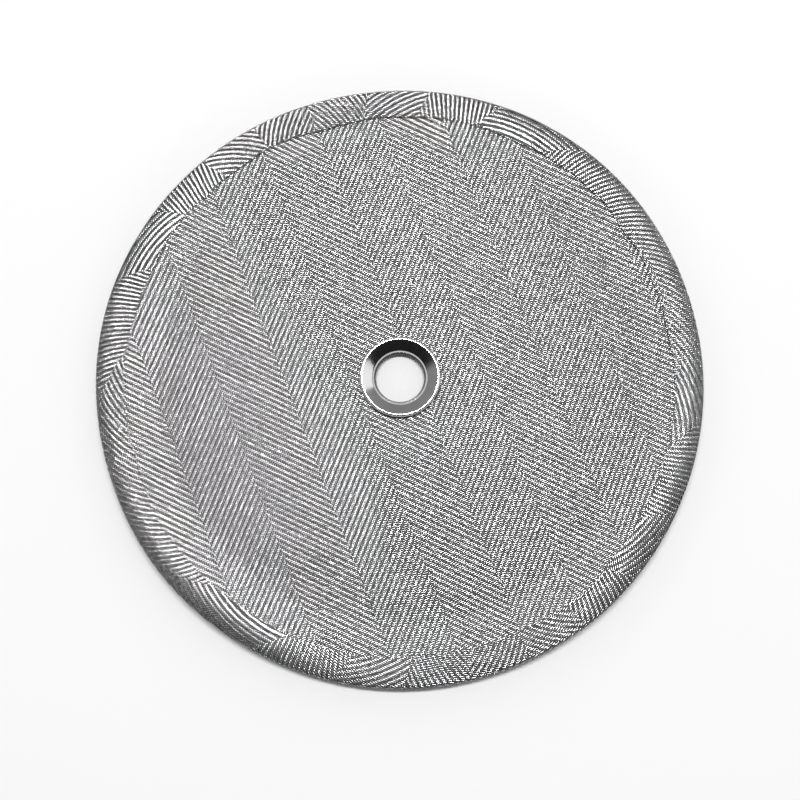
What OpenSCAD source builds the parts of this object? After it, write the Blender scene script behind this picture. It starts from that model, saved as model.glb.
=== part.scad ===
// Filter screen for a plunger pot: a disc of herringbone wire cloth with a folded rim and a centre eyelet.
// The eyelet's rolled back stands on z = 0, and the bore runs along Z through the origin.

/* [Disc] */
// Outside diameter over the folded rim
disc_d = 100; // [60:0.5:160]
// Thickness of the cloth, one wire lying over another
cloth_t = 0.26; // [0.2:0.02:0.5]
// Width of the sloping ring between the crease and the cut edge of the hem
ring_w = 5.5; // [3:0.25:12]
// Rise of that ring towards the rim, in degrees
ring_slope = 8; // [3:1:12]
// Bend radius of the crease
crease_r = 3; // [1:0.5:6]

/* [Hem] */
// Width of the cloth turned back over the front
hem_w = 4.75; // [4:0.25:9]
// Radius of the rounded crown that runs along the hem
crown_r = 10; // [6:0.5:12]
// Fall from the crown to the outer fold, in degrees
edge_slope = 8; // [3:1:10]
// Space left between the two layers of the hem
fold_gap = 0.12; // [0.08:0.02:0.3]

/* [Weave] */
// Width of one herringbone stripe
stripe_w = 10.3; // [6:0.1:20]
// Turn of the stripes about Z, in degrees
stripe_turn = 21.5; // [-90:0.5:90]
// Distance of the nearest stripe boundary from the centre
stripe_shift = 2.7; // [-5:0.1:5]
// Angle between the twill lines and their stripe, in degrees
twill_angle = 43.5; // [30:0.5:60]
// Distance from one twill line of the cloth to the next
twill_pitch = 0.84; // [0.7:0.02:1.6]
// Twill lines that one modelled ridge stands for
lines_per_ridge = 3; // [2:1:6]
// Height of a ridge over the front of the cloth
ridge_h = 0.08; // [0.04:0.02:0.2]
// Width of the valley between two ridges
valley_w = 0.7; // [0.5:0.05:1]
// Length of ridge left whole at each end of its gap, which stands for the openings between the wires
gap_end = 3.25; // [1:0.25:3.5]
// Share of a ridge's width that its gap opens
gap_share = 0.5; // [0.2:0.05:0.7]

/* [Eyelet] */
// Diameter of the bore
bore_d = 8; // [4:0.1:14]
// Thickness of the eyelet's metal
eyelet_t = 0.35; // [0.25:0.05:0.45]
// Width of the front flange, from the bore to its outer edge
flange_w = 2.75; // [2.4:0.05:5]
// Width of the rolled back, from the bore to its outer edge
back_w = 2.2; // [2:0.05:2.7]
// Height of the rolled back under the cloth
back_h = 1.2; // [1.1:0.05:2.5]
// Fall of the dished flange towards the bore, in degrees
dish_slope = 18; // [6:1:22]
// Depth of the bend from the flange into the bore, from the back of the cloth to the middle of the bend
mouth_drop = 0.36; // [0.1:0.02:0.5]

/* [Hidden] */
$fn = 96;
// Bend radii of the eyelet, at the middle of its metal
crest_r = 0.23;
mouth_r = 0.9;
foot_r = 0.35;
curl_r = 0.6;
// Straight steps that stand for each arc
crease_steps = 1;
crown_steps = 1;
fold_steps = 4;
inner_fold_steps = 2;
bend_steps = 4;
// Clearance round what the eyelet and the hem cover, and between stripes
cloth_clearance = 0.15;
ridge_margin = 0.3;
stripe_margin = 0.15;

bore_r = bore_d / 2;
flange_r = bore_r + flange_w;
back_r = bore_r + back_w;
barrel_x = bore_r + eyelet_t / 2;

cloth_bottom = back_h;
cloth_z = cloth_bottom + cloth_t / 2;
cloth_top = cloth_bottom + cloth_t;

disc_r = disc_d / 2;
cut_r = disc_r - hem_w;
field_r = cut_r - ring_w;

// The dish of the flange runs from the bend into the bore up to the crest
mouth = [barrel_x + mouth_r, cloth_bottom - mouth_drop];
square_to_dish = [-sin(dish_slope), cos(dish_slope)];
dish_start = mouth + mouth_r * square_to_dish;
dish_end_x = flange_r - eyelet_t / 2 - crest_r - crest_r * sin(dish_slope);
dish_end = [dish_end_x, dish_start.y + (dish_end_x - dish_start.x) * tan(dish_slope)];
crest = dish_end - crest_r * square_to_dish;

// The hole in the cloth ends where the underside of the dished flange rises clear of it
dish_rise = cloth_top - (dish_end.y - eyelet_t / 2 / cos(dish_slope));
hole_r = max(mouth.x, dish_end.x + dish_rise / tan(dish_slope)) + cloth_clearance;

// Middle of the hem's crown and of its fold
layer_step = cloth_t + fold_gap;
fold_r = layer_step / 2;
crown_x = disc_r - cloth_t / 2 - fold_r - (crown_r + fold_r) * sin(edge_slope);
ring_start = [field_r + crease_r * sin(ring_slope), cloth_z + crease_r * (1 - cos(ring_slope))];
crown_start_x = crown_x - crown_r * sin(ring_slope);
crown_start_z = ring_start.y + (crown_start_x - ring_start.x) * tan(ring_slope);
crown = [crown_x, crown_start_z - crown_r * cos(ring_slope)];
fold = crown + (crown_r + fold_r) * [sin(edge_slope), cos(edge_slope)];

// Twill lines measured along a stripe
ridge_step = lines_per_ridge * twill_pitch / sin(twill_angle);
valley_step = valley_w / sin(twill_angle);
bar_w = stripe_w - 2 * stripe_margin;
gap_l = bar_w / sin(twill_angle) - 2 * gap_end;
gap_w = gap_share * (lines_per_ridge * twill_pitch - valley_w);
ridge_in = flange_r + ridge_margin;
ridge_out = field_r - ridge_margin;
stripe_count = ceil((field_r + abs(stripe_shift)) / stripe_w);
ridge_count = ceil((field_r + stripe_w) / ridge_step);

// Points of an arc about a middle point
function arc(middle, r, from, to, steps) =
    [for (i = [0:steps]) middle + r * [for (a = [from + (to - from) * i / steps]) each [cos(a), sin(a)]]];

// Points in the opposite order
function reversed(points) = [for (i = [len(points) - 1:-1:0]) points[i]];

// One side of the cloth from its hole to the cut edge of the hem, moved towards the front by off
function cloth_side(off) =
    let (hem_r = crown_r + layer_step - off)
    let (hem_start = crown + hem_r * [-sin(ring_slope), cos(ring_slope)])
    let (hem_run = (hem_start.x - cut_r) * [1, tan(ring_slope)])
    concat(
        [[hole_r, cloth_z + off]],
        arc([field_r, cloth_z + crease_r], crease_r - off, -90, ring_slope - 90, crease_steps),
        arc(crown, crown_r + off, 90 + ring_slope, 90 - edge_slope, crown_steps),
        arc(fold, fold_r - off, -90 - edge_slope, 90 - edge_slope, off > 0 ? inner_fold_steps : fold_steps),
        arc(crown, hem_r, 90 - edge_slope, 90 + ring_slope, crown_steps),
        [hem_start - hem_run]
    );

// One side of the eyelet's metal from the curl at its back to the edge of its flange, moved outwards by off
function eyelet_side(off) =
    concat(
        [[back_r - eyelet_t / 2 + off, cloth_bottom]],
        arc([back_r - eyelet_t / 2 - curl_r, eyelet_t / 2 + curl_r], curl_r + off, 0, -90, bend_steps),
        arc([barrel_x + foot_r, eyelet_t / 2 + foot_r], foot_r + off, -90, -180, bend_steps),
        arc(mouth, mouth_r + off, 180, 90 + dish_slope, bend_steps),
        arc(crest, crest_r + off, 90 + dish_slope, 0, bend_steps),
        [[flange_r - eyelet_t / 2 + off, cloth_top]]
    );

// The layer on the flat field that the ridges fill, from the eyelet to the crease
module ridge_layer() {
    rotate_extrude()
        translate([ridge_in, cloth_z])
            square([ridge_out - ridge_in, cloth_t / 2 + ridge_h]);
}

// A slanted bar about the origin, as tall as given along its stripe
module twill_bar(width, rise, tall) {
    foot = [-width / 2, -rise / 2];
    head = [width / 2, rise / 2];
    half = [0, tall / 2];
    polygon([foot - half, head - half, head + half, foot + half]);
}

// The side to which the twill of a stripe leans: 1 or -1 in turn
function lean(stripe) = abs(stripe) % 2 == 0 ? 1 : -1;

// The middle of a stripe, at a number of ridge steps along it
function stripe_place(stripe, steps) = [stripe_shift + (stripe + 0.5) * stripe_w, steps * ridge_step];

// All ridges of the herringbone, flat
module herringbone() {
    for (stripe = [-stripe_count:stripe_count])
        for (ridge = [-ridge_count:ridge_count])
            translate(stripe_place(stripe, ridge))
                twill_bar(bar_w, lean(stripe) * bar_w / tan(twill_angle), ridge_step - valley_step);
}

// Tells whether a gap stays on the flat field, clear of the eyelet and the crease
function gap_fits(place) =
    norm(place) - gap_l / 2 > ridge_in + ridge_margin && norm(place) + gap_l / 2 < ridge_out;

// The gaps of all ridges, flat
module twill_gaps() {
    for (stripe = [-stripe_count:stripe_count])
        for (ridge = [-ridge_count:ridge_count]) {
            place = stripe_place(stripe, ridge);
            if (gap_fits(place))
                translate(place)
                    rotate(lean(stripe) * (90 - twill_angle))
                        square([gap_l, gap_w], center = true);
        }
}

// The disc of wire cloth: field, crease, ring and folded hem in one piece
module mesh_disc() {
    tall = cloth_top + 2 * ridge_h;
    color([0.62, 0.62, 0.63])
        difference() {
            union() {
                rotate_extrude()
                    polygon(concat(cloth_side(-cloth_t / 2), reversed(cloth_side(cloth_t / 2))));
                intersection() {
                    ridge_layer();
                    rotate(stripe_turn)
                        linear_extrude(tall)
                            herringbone();
                }
            }
            rotate(stripe_turn)
                linear_extrude(tall)
                    twill_gaps();
        }
}

// The stamped eyelet: rolled back, barrel, dished flange and rounded crest
module eyelet() {
    color([0.8, 0.8, 0.82])
        rotate_extrude()
            polygon(concat(eyelet_side(eyelet_t / 2), reversed(eyelet_side(-eyelet_t / 2))));
}

mesh_disc();
eyelet();
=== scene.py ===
# %% [markdown]
# # A filter disc of herringbone wire cloth
#
# The real disc is one round blank of stainless wire cloth. Its rim is folded back over the front as a hem,
# and a polished eyelet is set through its middle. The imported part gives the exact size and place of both
# pieces as plain solids. This lesson weaves the cloth from its real wires, folds it along the path of the
# solid, and adds the finishes, the light and the camera. Lengths are worked out in millimetres and become
# metres only when a mesh is made.

import bpy
import numpy as np
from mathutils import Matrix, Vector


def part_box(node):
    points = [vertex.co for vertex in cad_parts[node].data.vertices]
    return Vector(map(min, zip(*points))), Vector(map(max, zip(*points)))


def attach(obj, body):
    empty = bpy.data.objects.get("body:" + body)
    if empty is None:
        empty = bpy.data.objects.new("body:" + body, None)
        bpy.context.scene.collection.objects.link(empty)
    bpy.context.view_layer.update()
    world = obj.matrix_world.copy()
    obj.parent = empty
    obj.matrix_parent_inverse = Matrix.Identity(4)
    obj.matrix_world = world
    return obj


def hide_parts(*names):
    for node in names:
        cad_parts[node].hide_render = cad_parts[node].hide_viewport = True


MM = 0.001

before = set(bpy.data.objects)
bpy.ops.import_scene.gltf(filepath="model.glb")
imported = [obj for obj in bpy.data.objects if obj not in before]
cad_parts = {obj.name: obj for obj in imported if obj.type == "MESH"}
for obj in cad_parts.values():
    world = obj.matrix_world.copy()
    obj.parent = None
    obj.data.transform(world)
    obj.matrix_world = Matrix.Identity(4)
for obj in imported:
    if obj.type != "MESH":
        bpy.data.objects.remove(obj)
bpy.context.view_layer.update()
cloth_low, cloth_high = (np.array(corner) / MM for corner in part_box("mesh_disc"))
eyelet_high = np.array(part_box("eyelet")[1]) / MM
print("nodes", sorted(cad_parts), "disc width in mm", round(cloth_high[0] - cloth_low[0], 2))

# %% [markdown]
# ## The path of the folded cloth
#
# Cut through its middle, the cloth is one thin line: a flat field, a crease, a sloping ring, a rounded
# crown, a tight fold, and the hem that runs back over the crown. Such a line could be drawn point by
# point. It is easier to say how its heading turns along its own length, because cloth bends but hardly
# stretches: each stretch has a length and the heading at its end. Adding up the steps gives radius and
# height.

# %% Headings along the cloth
cloth_t = 0.26
ring_w = 5.5
hem_w = 4.75
crease_r = 3.0
crown_r = 10.0
fold_gap = 0.12
ring_slope = np.radians(8)
edge_slope = np.radians(8)

disc_r = cloth_high[0]
cloth_z = cloth_low[2] + cloth_t / 2
cut_r = disc_r - hem_w
field_r = cut_r - ring_w
layer_step = cloth_t + fold_gap
fold_r = layer_step / 2
crown_x = disc_r - cloth_t / 2 - fold_r - (crown_r + fold_r) * np.sin(edge_slope)
crease_end_r = field_r + crease_r * np.sin(ring_slope)
crown_start_r = crown_x - crown_r * np.sin(ring_slope)
hem_start_r = crown_x - (crown_r + layer_step) * np.sin(ring_slope)
turn_over_crown = ring_slope + edge_slope

stretches = [
    (field_r, 0.0),
    (crease_r * ring_slope, ring_slope),
    ((crown_start_r - crease_end_r) / np.cos(ring_slope), ring_slope),
    (crown_r * turn_over_crown, -edge_slope),
    (fold_r * np.pi, np.pi - edge_slope),
    ((crown_r + layer_step) * turn_over_crown, np.pi + ring_slope),
    ((hem_start_r - cut_r) / np.cos(ring_slope), np.pi + ring_slope),
]
knots = np.cumsum([0.0] + [length for length, heading in stretches])
headings = np.array([0.0] + [heading for length, heading in stretches])
crown_s, fold_s, hem_s, cut_s = knots[3], knots[4], knots[5], knots[7]
print("flat blank in mm", round(2 * cut_s, 1))

# %% Radius and height along the cloth
spare = 2.0
path_points = 12000
path_s = np.linspace(0, cut_s + spare, path_points)
path_heading = np.interp(path_s, knots, headings)
path_step = path_s[1]


def running_sum(slope):
    """Adds up slope times step along the path, with the mean of the slope at both ends of each step."""
    return np.concatenate([[0.0], np.cumsum((slope[1:] + slope[:-1]) / 2) * path_step])


path_r = running_sum(np.cos(path_heading))
path_z = cloth_z + running_sum(np.sin(path_heading))
print("greatest radius", round(path_r.max(), 2), "greatest height", round(path_z.max(), 2))

# %% [markdown]
# ## The marks of the folding
#
# The fold is turned by hand tools, so the rim isn't a true circle, the cut edge runs unevenly, and the hem
# lifts a little here and there. Noise could do this, but a sum of a few cosines round the rim closes on
# itself by construction. A seeded generator draws the weights, so every run gives the same disc.

# %% Ripples round the rim
chance = np.random.default_rng(11)


def ripple(lowest, highest, rms):
    """Sum of one cosine for each order from lowest to highest, with drawn weights and phases.

    The weights fall with the root of the order and are scaled so that the sum has the given rms.
    """
    orders = np.arange(lowest, highest + 1)
    weights = chance.normal(size=len(orders)) / np.sqrt(orders)
    weights *= rms / np.sqrt((weights**2).sum() / 2)
    phases = chance.uniform(0, 2 * np.pi, len(orders))
    return lambda angle: (np.cos(angle[..., None] * orders + phases) * weights).sum(-1)


rim_ripple = ripple(lowest=2, highest=9, rms=0.10)
cut_ripple = ripple(lowest=3, highest=40, rms=0.14)
hem_lift = ripple(lowest=5, highest=36, rms=0.03)
rim_wave = ripple(lowest=2, highest=6, rms=0.08)
places_round_rim = 720
around = np.linspace(0, 2 * np.pi, places_round_rim)
print("rim out of round by", round(np.ptp(rim_ripple(around)), 2), "mm")

# %% [markdown]
# ## From the flat blank to the folded disc
#
# Every wire is first laid out straight on the flat blank. Folding then moves a point only along its own
# radius: its distance from the middle is its length along the path. The hem's weave comes out mirrored and
# crowded towards the middle without any further work, just as it does on the real hem.


# %% Fold a point of the blank
def ramp(value, start, end):
    """Smooth step: 0 before start, 1 after end, and the cubic 3t^2 - 2t^3 between them."""
    t = np.clip((value - start) / (end - start), 0, 1)
    return t * t * (3 - 2 * t)


def folded(flat):
    """Place and front direction of the folded cloth over flat points, arrays of x and y.

    Radius and height are read from the path, the ripples are added, and both turn about the disc's axis.
    The front direction is the heading turned by a quarter towards the front.
    """
    s = np.hypot(flat[..., 0], flat[..., 1])
    angle = np.arctan2(flat[..., 1], flat[..., 0])
    towards_rim = ramp(s, field_r, fold_s)
    r = np.interp(s, path_s, path_r) + towards_rim * rim_ripple(angle)
    z = np.interp(s, path_s, path_z) + towards_rim * rim_wave(angle)
    z += ramp(s, hem_s, cut_s) * hem_lift(angle)
    heading = np.interp(s, path_s, path_heading)
    place = np.stack([r * np.cos(angle), r * np.sin(angle), z], axis=-1)
    front = np.stack(
        [-np.sin(heading) * np.cos(angle), -np.sin(heading) * np.sin(angle), np.cos(heading)], axis=-1
    )
    return place, front


sample, _ = folded(np.array([[0.0, 0.0], [0.0, fold_s], [0.0, cut_s]]))
print("middle, fold and cut edge at", np.round(sample, 2).tolist())

# %% [markdown]
# ## The herringbone weave
#
# In this cloth each wire passes over two and under two of the others, and each neighbour does so one wire
# further on, which makes the slanting twill lines. After every 36 wires the lean changes sides, and that
# is the herringbone. Whether a wire lies in front follows from whole numbers alone: count the wires both
# ways, add or take away, and look at the remainder by four.

# %% Which wire lies in front
stripe_w = 10.3
stripe_shift = 2.7
stripe_turn = np.radians(21.5)
wires_per_stripe = 36
warp_pitch = stripe_w / wires_per_stripe
weft_pitch = 0.305
repeat = 4
reversal_jump = 3

warp_reach = int(np.ceil((cut_s + spare + stripe_shift) / warp_pitch))
weft_reach = int(np.ceil((cut_s + spare) / weft_pitch))
warp_numbers = np.arange(-warp_reach, warp_reach)
weft_numbers = np.arange(-weft_reach, weft_reach)


def warp_phase(number):
    """Place of a warp wire in the repeat: it falls by one a wire in even stripes and rises in odd ones."""
    stripe, within = np.divmod(number, wires_per_stripe)
    odd = stripe % 2
    return np.where(odd, reversal_jump + within, -within) % repeat


def warp_in_front(warp, weft):
    """1 where the warp wire passes in front of the weft wire, and -1 where it passes behind."""
    return np.where((warp_phase(warp) + weft) % repeat < 2, 1, -1)


print("warp wires", len(warp_numbers), "weft wires", len(weft_numbers))

# %% [markdown]
# ## Wires as tubes
#
# A wire could be a curve with a round bevel, but hundreds of curves with so many bends are slow. Here all
# wires that share one rhythm form one grid: one row a wire, one column for each place where the wire is
# nearest to the front or to the back. Each grid point carries a ring of three corners, with one flat side
# to the side that shows. So few corners leave room for every wire of the real cloth, and normals round
# them off.


# %% Rings of a group of wires
def float_middles(sides):
    """Middle of each run of equal sides along a wire, counted in crossings, and the side of that run."""
    cuts = np.flatnonzero(np.diff(sides)) + 1
    starts = np.concatenate([[0], cuts])
    ends = np.concatenate([cuts, [len(sides)]])
    return (starts + ends - 1) / 2, sides[starts]


def every_crossing(sides):
    """Each crossing along a wire and its side, for the tight fold, where a float is too long a step."""
    return np.arange(len(sides)), sides


def warp_place(number):
    """Distance of a warp wire from the middle of the disc, across the stripes."""
    return stripe_shift + (number + 0.5) * warp_pitch


def weft_place(number):
    """Distance of a weft wire from the middle of the disc, along the stripes."""
    return (number + 0.5) * weft_pitch


def on_blank(across, along):
    """Turns places across and along the stripes into x and y on the flat blank."""
    cos, sin = np.cos(stripe_turn), np.sin(stripe_turn)
    return np.stack([across * cos - along * sin, across * sin + along * cos], axis=-1)


def warp_groups(rings):
    """Flat points, sides and running direction of the warp wires, one grid for each phase of the repeat."""
    direction = on_blank(np.array(0.0), np.array(1.0))
    for phase in range(repeat):
        wires = warp_numbers[warp_phase(warp_numbers) == phase]
        steps, sides = rings(warp_in_front(wires[0], weft_numbers))
        along = weft_place(steps + weft_numbers[0])
        grid = np.meshgrid(warp_place(wires), along, indexing="ij")
        yield on_blank(*grid), np.broadcast_to(sides, grid[0].shape), direction


def weft_groups(rings):
    """The same for the weft wires, which show in front wherever the warp doesn't."""
    direction = on_blank(np.array(1.0), np.array(0.0))
    for phase in range(repeat):
        wires = weft_numbers[weft_numbers % repeat == phase]
        steps, sides = rings(-warp_in_front(warp_numbers, wires[0]))
        across = warp_place(steps + warp_numbers[0])
        across, along = np.meshgrid(across, weft_place(wires))
        yield on_blank(across, along), np.broadcast_to(sides, across.shape), direction


points, sides, _ = next(warp_groups(float_middles))
print("one group of warp wires has a grid of", points.shape[:2])

# %% [markdown]
# ## From rings to a mesh
#
# The grid covers a square, and the disc keeps only the pieces of wire whose middle lies in the zone that
# is asked for. A whole-array mask picks those pieces, their four-sided faces follow from the grid's own
# numbering, and a triangle closes the wire wherever the mask begins or ends.
#
# Such cloth is rolled after weaving, so its wires are wider than high and their crowns are nearly flat.
# Plain smooth shading would make them look round across and stiff along their length. So each corner of a
# face gets a normal of its own: it leans less to the side than the corner does, and it bows along each
# float. Each corner also keeps a mark of how far it lies across its wire, which the finish reads later to
# paint shade on the flanks.

# %% Tubes from a grid
wire_w, wire_h = 0.21, 0.13
warp_crimp, weft_crimp = 0.06, 0.09
bow = 0.8
corner_turns = np.radians([60, 180, 300])
shading_turns = np.radians([40, 180, 320])
nudge = 0.02


def unit(vectors):
    """Each vector divided by its own length."""
    return vectors / np.linalg.norm(vectors, axis=-1, keepdims=True)


def four_sided(here, there):
    """Puts the values at the four corners of each face in order, from two rings in a row."""
    return np.stack([here, there, np.roll(there, -1, 2), np.roll(here, -1, 2)], axis=3)


def tubes(flat, sides, direction, crimp, zone_low, zone_high, shown):
    """Corners, flat places, marks, normals and faces of the wires of one grid inside a zone of the blank.

    Each ring lies about the folded place, moved by the crimp towards its side. Its corners stand at thirds
    of a turn between the front direction and the crosswise one, with the flat side to the side that shows.
    A corner's normal points straight out where the wire is nearest to that corner's own side. At the
    other end of the piece, out of sight, it leans by bow times the slope of the piece, so each float
    looks rounded along its length. The mark is the place across the wire as a share of the half width.
    """
    place, front = folded(flat)
    ahead = unit(folded(flat + nudge * direction)[0] - folded(flat - nudge * direction)[0])
    across = unit(np.cross(front, ahead))
    height = crimp * sides
    centre = place + height[..., None] * front
    facing, crosswise = shown * np.cos(corner_turns), shown * np.sin(corner_turns)
    upright = facing[:, None] * front[:, :, None]
    sideways = wire_w / 2 * (crosswise / np.abs(crosswise).max())[:, None]
    rings = centre[:, :, None] + wire_h / 2 * upright + sideways * across[:, :, None]
    beside = np.array([-direction[1], direction[0]])
    laid_out = flat[:, :, None] + sideways * beside

    outward = shown * np.cos(shading_turns)[:, None] * front[:, :, None]
    outward = outward + shown * np.sin(shading_turns)[:, None] * across[:, :, None]
    slope = np.diff(height, axis=1) / np.linalg.norm(np.diff(place, axis=1), axis=-1)
    out_of_sight = facing * sides[..., None] < 0
    lean = (bow * facing * out_of_sight)[..., None] * ahead[:, :, None]
    normal_here = unit(outward[:, :-1] - slope[..., None, None] * lean[:, :-1])
    normal_there = unit(outward[:, 1:] - slope[..., None, None] * lean[:, 1:])

    middle = (flat[:, 1:] + flat[:, :-1]) / 2
    s = np.hypot(middle[..., 0], middle[..., 1])
    ragged = cut_ripple(np.arctan2(middle[..., 1], middle[..., 0]))
    kept = (s >= zone_low) & (s < np.minimum(zone_high, cut_s + ragged))

    number = np.arange(rings[..., 0].size).reshape(rings.shape[:3])
    here, there = number[:, :-1], number[:, 1:]
    quads = four_sided(here, there)[kept].reshape(-1, 4)
    quad_normals = four_sided(normal_here, normal_there)[kept].reshape(-1, 3)
    before = np.pad(kept[:, :-1], ((0, 0), (1, 0)))
    after = np.pad(kept[:, 1:], ((0, 0), (0, 1)))
    caps = np.concatenate([here[kept & ~before], there[kept & ~after][:, ::-1]])
    cap_normals = outward.reshape(-1, 3)[caps.ravel()]
    share = np.broadcast_to(sideways[:, 0] / (wire_w / 2), number.shape).ravel()
    return rings.reshape(-1, 3), laid_out.reshape(-1, 2), share, quad_normals, cap_normals, quads, caps


def joined(parts):
    """Joins the arrays of several grids, with the face numbers moved past the corners of earlier grids."""
    firsts = np.cumsum([0] + [len(part[0]) for part in parts[:-1]])
    *values, all_quads, all_caps = zip(*parts)
    corners, laid_out, share, quad_normals, cap_normals = (np.concatenate(arrays) for arrays in values)
    quads, caps = (
        np.concatenate([faces + first for faces, first in zip(arrays, firsts)])
        for arrays in (all_quads, all_caps)
    )
    used = np.zeros(len(corners), bool)
    used[quads] = True
    renumber = np.cumsum(used) - 1
    normals = np.concatenate([quad_normals, cap_normals])
    return corners[used], laid_out[used], share[used], renumber[quads], renumber[caps], normals


print("rolled wire", wire_w, "by", wire_h, "mm")


# %% Put arrays into a mesh
blank_span = 2 * (cut_s + spare)
print("map of the blank spans", round(blank_span, 1), "mm")


def new_piece(name, corners, quads, triangles, laid_out):
    """Makes a smooth-shaded object at the origin from arrays, with its flat places as its own map."""
    loops = np.concatenate([quads.ravel(), triangles.ravel()]).astype(np.int32)
    starts = np.concatenate(
        [np.arange(len(quads)) * 4, len(quads) * 4 + np.arange(len(triangles)) * 3]
    ).astype(np.int32)
    mesh = bpy.data.meshes.new(name)
    mesh.vertices.add(len(corners))
    mesh.vertices.foreach_set("co", (corners * MM).astype(np.float32).ravel())
    mesh.loops.add(len(loops))
    mesh.loops.foreach_set("vertex_index", loops)
    mesh.polygons.add(len(starts))
    mesh.polygons.foreach_set("loop_start", starts)
    mesh.update(calc_edges=True)
    mesh.shade_smooth()
    chart = mesh.uv_layers.new(name="OFBake")
    chart.data.foreach_set("uv", (laid_out / blank_span + 0.5)[loops].astype(np.float32).ravel())
    piece = bpy.data.objects.new(name, mesh)
    bpy.context.scene.collection.objects.link(piece)
    print(name, "has", 2 * len(quads) + len(triangles), "triangles")
    return piece


# %% [markdown]
# ## The woven pieces
#
# The cloth is one piece of metal work, but its hem shows the other side of the weave and bends far more
# tightly than the rest. So each set of wires is made in three zones: the field, the ring up to the crown,
# and the hem. Where the fine steps of the hem begin, they overlap the coarse ones by half a float.

# %% Weave the three zones
hole_r = 5.2
past_crown = 1.2
hem_zone = crown_s + past_crown
overlap = weft_pitch
zones = {
    "field": (hole_r, field_r, float_middles, 1),
    "ring": (field_r, hem_zone, float_middles, 1),
    "hem": (hem_zone - overlap, cut_s + spare, every_crossing, -1),
}
wire_sets = {"warp": (warp_groups, warp_crimp), "weft": (weft_groups, weft_crimp)}
cloth_pieces = {"warp": [], "weft": []}
for zone, (low, high, rings, shown) in zones.items():
    for wires, (groups, crimp) in wire_sets.items():
        grids = [tubes(*group, crimp, low, high, shown) for group in groups(rings)]
        corners, laid_out, share, quads, caps, normals = joined(grids)
        piece = new_piece(f"cloth_{zone}_{wires}", corners, quads, caps, laid_out)
        piece.data.normals_split_custom_set(normals)
        across = piece.data.attributes.new("across", "FLOAT", "POINT")
        across.data.foreach_set("value", share.astype(np.float32))
        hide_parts("mesh_disc")
        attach(piece, "root")
        cloth_pieces[wires].append(piece)

# %% [markdown]
# ## The eyelet
#
# The eyelet is stamped from one cup of thin sheet: a dished flange with a rounded crest on the front, a
# short barrel through the cloth, and a back that the setting tool has rolled over. A screw modifier could
# turn its section. Here the section is a closed outline of arcs, taken on both sides of the middle of the
# sheet, and one outer product with the circle turns it into a closed ring.

# %% Section of the eyelet
eyelet_t = 0.35
bore_r = 4.0
back_w = 2.2
dish_slope = np.radians(18)
mouth_drop = 0.36
crest_r, mouth_r, foot_r, curl_r = 0.23, 0.9, 0.35, 0.6
arc_steps = 12

flange_r = eyelet_high[0]
back_r = bore_r + back_w
barrel_x = bore_r + eyelet_t / 2
cloth_bottom, cloth_top = cloth_low[2], cloth_low[2] + cloth_t
mouth = np.array([barrel_x + mouth_r, cloth_bottom - mouth_drop])
crest = np.array([flange_r - eyelet_t / 2 - crest_r, eyelet_high[2] - eyelet_t / 2 - crest_r])


def arc(middle, r, start, end):
    """Points of a circle about a middle point, from a start to an end angle."""
    angles = np.linspace(start, end, arc_steps + 1)
    return np.asarray(middle) + r * np.stack([np.cos(angles), np.sin(angles)], axis=-1)


def eyelet_side(off):
    """One side of the sheet, moved outwards by off: curl at the back, foot, mouth, crest and skirt."""
    quarter = np.pi / 2
    curl = (back_r - eyelet_t / 2 - curl_r, eyelet_t / 2 + curl_r)
    foot = (barrel_x + foot_r, eyelet_t / 2 + foot_r)
    return np.concatenate(
        [
            [[back_r - eyelet_t / 2 + off, cloth_bottom]],
            arc(curl, curl_r + off, 0, -quarter),
            arc(foot, foot_r + off, -quarter, -2 * quarter),
            arc(mouth, mouth_r + off, 2 * quarter, quarter + dish_slope),
            arc(crest, crest_r + off, quarter + dish_slope, 0),
            [[flange_r - eyelet_t / 2 + off, cloth_top]],
        ]
    )


section = np.concatenate([eyelet_side(eyelet_t / 2), eyelet_side(-eyelet_t / 2)[::-1]])
print("section of", len(section), "points, crest at", round(section[:, 1].max(), 2), "mm")


# %% Turn the section
def turned(outline, turns):
    """Carries an outline of radius and height round the axis: radius times the circle, same height."""
    angles = np.arange(turns) * 2 * np.pi / turns
    circle = np.stack([np.cos(angles), np.sin(angles)], axis=-1)
    flat = outline[:, None, :1] * circle
    corners = np.concatenate([flat, np.broadcast_to(outline[:, None, 1:], (*flat.shape[:2], 1))], axis=-1)
    number = np.arange(len(outline) * turns).reshape(len(outline), turns)
    further, onward = np.roll(number, -1, 1), np.roll(number, -1, 0)
    quads = np.stack([number, further, np.roll(onward, -1, 1), onward], axis=-1)
    return corners.reshape(-1, 3), quads.reshape(-1, 4)


eyelet_turns = 240
sharp_turn = np.radians(50)
corners, quads = turned(section, eyelet_turns)
no_triangles = np.zeros((0, 3), int)
eyelet = new_piece("eyelet_ring", corners, quads, no_triangles, corners[:, :2])
eyelet.data.set_sharp_from_angle(angle=sharp_turn)
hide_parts("eyelet")
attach(eyelet, "root")

# %% [markdown]
# ## The finishes
#
# Both pieces are bare stainless steel. Warp and weft are one steel painted as a shaded and a lit copy:
# the warp's dark tone is painted shade and the weft's bright tone painted light, so the twill lines
# stand out. Painted shade darkens the flanks of both wires, where they would lie in shade between the
# wires, and leaves their flattened crowns bright. The eyelet is bright from the press, with a faint orange
# peel, and painted shade darkens the inside of its barrel, where the bore lies in shade. A painted map
# could show all this. Here noise on the object's own coordinates moves colour and roughness, and the mark
# on the wires or the distance from the axis says where the painted shade begins, so no image is needed.
# Each finish is metal all over, so that value sits on the shader itself.

# %% Nodes of a steel finish
patch_detail = 5
dark_end, light_end = 0.3, 0.7
grain_strength = 0.5


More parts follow.
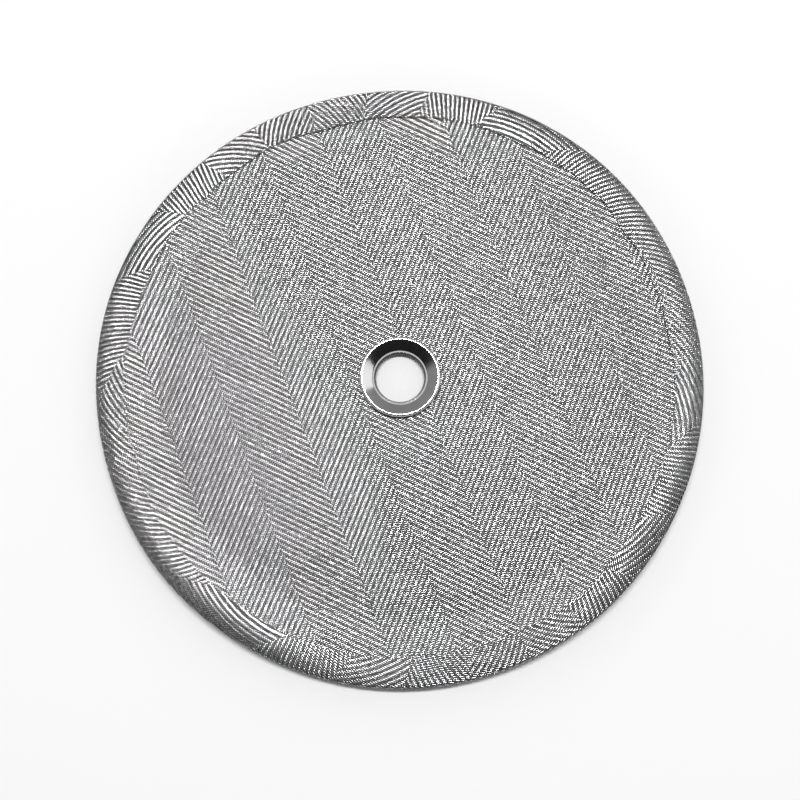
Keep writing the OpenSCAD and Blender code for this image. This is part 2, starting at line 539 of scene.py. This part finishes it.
def steel(name, dark, light, smooth, rough, patch_size, fineness, grain_size, grain_depth):
    """Metal whose colour drifts between two tones over patches, with a fine grain in roughness and bump."""
    material = bpy.data.materials.new(name)
    material.use_nodes = True
    nodes, links = material.node_tree.nodes, material.node_tree.links
    shader = nodes["Principled BSDF"]
    shader.inputs["Metallic"].default_value = 1.0
    place = nodes.new("ShaderNodeTexCoord").outputs["Object"]

    patches = nodes.new("ShaderNodeTexNoise")
    patches.inputs["Scale"].default_value = 1 / (patch_size * MM)
    patches.inputs["Detail"].default_value = patch_detail
    patches.inputs["Roughness"].default_value = fineness
    colours = nodes.new("ShaderNodeValToRGB")
    colours.color_ramp.elements[0].position = dark_end
    colours.color_ramp.elements[0].color = (*dark, 1)
    colours.color_ramp.elements[1].position = light_end
    colours.color_ramp.elements[1].color = (*light, 1)
    roughness = nodes.new("ShaderNodeMapRange")
    roughness.inputs["To Min"].default_value = smooth
    roughness.inputs["To Max"].default_value = rough

    grain = nodes.new("ShaderNodeTexNoise")
    grain.inputs["Scale"].default_value = 1 / (grain_size * MM)
    bump = nodes.new("ShaderNodeBump")
    bump.inputs["Strength"].default_value = grain_strength
    bump.inputs["Distance"].default_value = grain_depth * MM

    links.new(place, patches.inputs["Vector"])
    links.new(place, grain.inputs["Vector"])
    links.new(patches.outputs["Fac"], colours.inputs["Fac"])
    links.new(colours.outputs["Color"], shader.inputs["Base Color"])
    links.new(grain.outputs["Fac"], roughness.inputs["Value"])
    links.new(roughness.outputs["Result"], shader.inputs["Roughness"])
    links.new(grain.outputs["Fac"], bump.inputs["Height"])
    links.new(bump.outputs["Normal"], shader.inputs["Normal"])
    print("finish", name)
    return material


# %% Parts of a piece with another tone
def smooth_step(tree, value, start, end):
    """Node output that goes from 0 at start to 1 at end of a value, by the cubic 3t^2 - 2t^3."""
    step = tree.nodes.new("ShaderNodeMapRange")
    step.interpolation_type = "SMOOTHSTEP"
    step.inputs["From Min"].default_value = start
    step.inputs["From Max"].default_value = end
    tree.links.new(value, step.inputs["Value"])
    return step.outputs["Result"]


def blend_colour(tree, amount, colour):
    """Blends the finish's own colour towards another one by an amount from 0 to 1, a node's output."""
    base = tree.nodes["Principled BSDF"].inputs["Base Color"]
    blend = tree.nodes.new("ShaderNodeMix")
    blend.data_type = "RGBA"
    own, other = (socket for socket in blend.inputs if socket.type == "RGBA")
    result = next(socket for socket in blend.outputs if socket.type == "RGBA")
    other.default_value = (*colour, 1)
    tree.links.new(amount, blend.inputs["Factor"])
    tree.links.new(base.links[0].from_socket, own)
    tree.links.new(result, base)


def paint_flank_shade(material, colour, crown_edge, flank_edge):
    """Paints shade on a wire from the edge of its crown outwards, where its flanks lie in shade between the
    wires, by the share of its half width on the mesh.
    """
    tree = material.node_tree
    mark = tree.nodes.new("ShaderNodeAttribute")
    mark.attribute_name = "across"
    size = tree.nodes.new("ShaderNodeMath")
    size.operation = "ABSOLUTE"
    tree.links.new(mark.outputs["Fac"], size.inputs[0])
    blend_colour(tree, smooth_step(tree, size.outputs["Value"], crown_edge, flank_edge), colour)


def paint_barrel_shade(material, colour, bright_r, shaded_r):
    """Paints shade on the inside of the eyelet's barrel, where the bore lies in shade, by the distance from
    its axis in millimetres.
    """
    tree = material.node_tree
    place = tree.nodes.new("ShaderNodeTexCoord").outputs["Object"]
    level = tree.nodes.new("ShaderNodeVectorMath")
    level.operation = "MULTIPLY"
    level.inputs[1].default_value = (1, 1, 0)
    distance = tree.nodes.new("ShaderNodeVectorMath")
    distance.operation = "LENGTH"
    tree.links.new(place, level.inputs[0])
    tree.links.new(level.outputs["Vector"], distance.inputs[0])
    blend_colour(tree, smooth_step(tree, distance.outputs["Value"], bright_r * MM, shaded_r * MM), colour)


# %% Give each piece its finish
wire_grain = {"patch_size": 0.5, "fineness": 0.2, "grain_size": 0.4, "grain_depth": 0.004}
press_grain = {"patch_size": 3.0, "fineness": 0.5, "grain_size": 0.8, "grain_depth": 0.004}
# Warp and weft are one steel, painted as a shaded and a lit copy: the warp's dark tone is painted shade and
# the weft's bright tone painted light.
warp_wire = steel(
    "warp_wire", (0.07, 0.07, 0.07), (0.22, 0.22, 0.22), smooth=0.4, rough=0.5, **wire_grain
)
weft_wire = steel(
    "weft_wire", (0.60, 0.60, 0.61), (0.96, 0.96, 0.97), smooth=0.16, rough=0.26, **wire_grain
)
bright_press = steel(
    "bright_press", (0.76, 0.76, 0.78), (0.84, 0.84, 0.85), smooth=0.09, rough=0.16, **press_grain
)
# Painted shade: the flanks of both wires are painted near black, where they would lie in shade between the
# wires.
painted_flank_shade = (0.08, 0.08, 0.08)
# Painted shade: the inside of the eyelet's barrel is painted near black, where the bore lies in shade.
painted_bore_shade = (0.02, 0.02, 0.02)
for wire in (warp_wire, weft_wire):
    paint_flank_shade(wire, painted_flank_shade, crown_edge=0.4, flank_edge=0.85)
paint_barrel_shade(bright_press, painted_bore_shade, bright_r=4.35, shaded_r=4.12)
for piece in cloth_pieces["warp"]:
    piece.data.materials.append(warp_wire)
for piece in cloth_pieces["weft"]:
    piece.data.materials.append(weft_wire)
eyelet.data.materials.append(bright_press)

# %% [markdown]
# ## Floor and light
#
# The disc lies on white paper in a pale room. Polished metal has little colour of its own to show, so what
# stands around it matters as much as the lamps. The room is bright near the horizon, dim overhead, and
# dark overhead on the near side, and that dark part makes the crescent inside the eyelet. One long and
# narrow lamp hangs almost straight above, a little behind. A wide lamp would melt the glints of the wires
# into one sheen, and a short one would light only a part of the disc. A weak window adds a little light
# from the right.


# %% Paper under the disc
def paper_floor(size, colour, roughness, gloss):
    """A flat square of matt paper under the disc, with one colour all over."""
    half = size / 2
    mesh = bpy.data.meshes.new("paper")
    mesh.from_pydata(
        [(-half, -half, 0), (half, -half, 0), (half, half, 0), (-half, half, 0)], [], [(0, 1, 2, 3)]
    )
    floor = bpy.data.objects.new("paper", mesh)
    bpy.context.scene.collection.objects.link(floor)
    material = bpy.data.materials.new("paper")
    material.use_nodes = True
    shader = material.node_tree.nodes["Principled BSDF"]
    shader.inputs["Base Color"].default_value = (*colour, 1)
    shader.inputs["Roughness"].default_value = roughness
    shader.inputs["Specular IOR Level"].default_value = gloss
    mesh.materials.append(material)
    return floor


paper_floor(3.0, (0.96, 0.96, 0.96), roughness=0.9, gloss=0.2)
print("paper floor ready")


# %% A bright horizon under a dim ceiling
def room_light(horizon, ceiling, front, level_low, level_high, front_start, front_end):
    """World strength by direction: bright near the horizon, dim overhead, and darkest overhead in front.

    A smooth step of the direction's Y part blends the front into the ceiling, and a smooth step of its Z
    part blends the horizon into both.
    """
    world = bpy.data.worlds.new("room")
    bpy.context.scene.world = world
    world.use_nodes = True
    nodes, links = world.node_tree.nodes, world.node_tree.links
    direction = nodes.new("ShaderNodeTexCoord").outputs["Generated"]
    parts = nodes.new("ShaderNodeSeparateXYZ")
    links.new(direction, parts.inputs["Vector"])
    overhead = smooth_step(world.node_tree, parts.outputs["Y"], front_start, front_end)
    overhead.node.inputs["To Min"].default_value = front
    overhead.node.inputs["To Max"].default_value = ceiling
    whole = smooth_step(world.node_tree, parts.outputs["Z"], level_low, level_high)
    whole.node.inputs["To Min"].default_value = horizon
    links.new(overhead, whole.node.inputs["To Max"])
    links.new(whole, nodes["Background"].inputs["Strength"])
    nodes["Background"].inputs["Color"].default_value = (1, 1, 1, 1)


room_light(
    horizon=0.76,
    ceiling=0.22,
    front=0.01,
    level_low=0.35,
    level_high=0.62,
    front_start=-0.09,
    front_end=0.05,
)
print("room ready")


# %% A long lamp above and a weak one at the side
def soft_lamp(name, direction, distance, width, depth, watts):
    """An oblong lamp in a direction from the disc, at a distance in metres, turned towards the disc."""
    lamp = bpy.data.lights.new(name, "AREA")
    lamp.shape = "RECTANGLE"
    lamp.size, lamp.size_y = width, depth
    lamp.energy = watts
    holder = bpy.data.objects.new(name, lamp)
    bpy.context.scene.collection.objects.link(holder)
    holder.location = distance * np.array(direction) / np.linalg.norm(direction)
    holder.rotation_euler = (-holder.location).to_track_quat("-Z", "Y").to_euler()


soft_lamp("window", (0.0, 0.25, 0.96), distance=0.9, width=0.58, depth=0.08, watts=6.4)
soft_lamp("side_window", (0.58, 0.18, 0.8), distance=0.8, width=0.35, depth=0.35, watts=0.3)
print("lamps ready")

# %% [markdown]
# ## The camera
#
# The photo looks down almost straight, some ten degrees from the near side. How strongly the near half of
# the rim is larger than the far half gives the distance, and the width of the disc in the frame then gives
# the lens. The disc lies a little above the middle of the frame, so the camera nods down a little.

# %% Camera at the photo's place
view_lean = np.radians(10.5)
view_distance = 190.0
nearest_seen = 10.0
frame_px = 800
px_per_mm = 6.044
disc_above_middle_px = 22.4

focal_px = px_per_mm * view_distance
camera_data = bpy.data.cameras.new("camera")
camera = bpy.data.objects.new("camera", camera_data)
bpy.context.scene.collection.objects.link(camera)
camera_data.lens = camera_data.sensor_width * focal_px / frame_px
camera_data.clip_start = nearest_seen * MM
nod = np.arctan(disc_above_middle_px / focal_px)
camera.location = (
    0.0,
    -view_distance * np.sin(view_lean) * MM,
    (cloth_z + view_distance * np.cos(view_lean)) * MM,
)
camera.rotation_euler = (view_lean - nod, 0.0, 0.0)
bpy.context.scene.camera = camera
bpy.context.scene.view_settings.view_transform = "Standard"
print("lens in mm", round(camera_data.lens, 1))
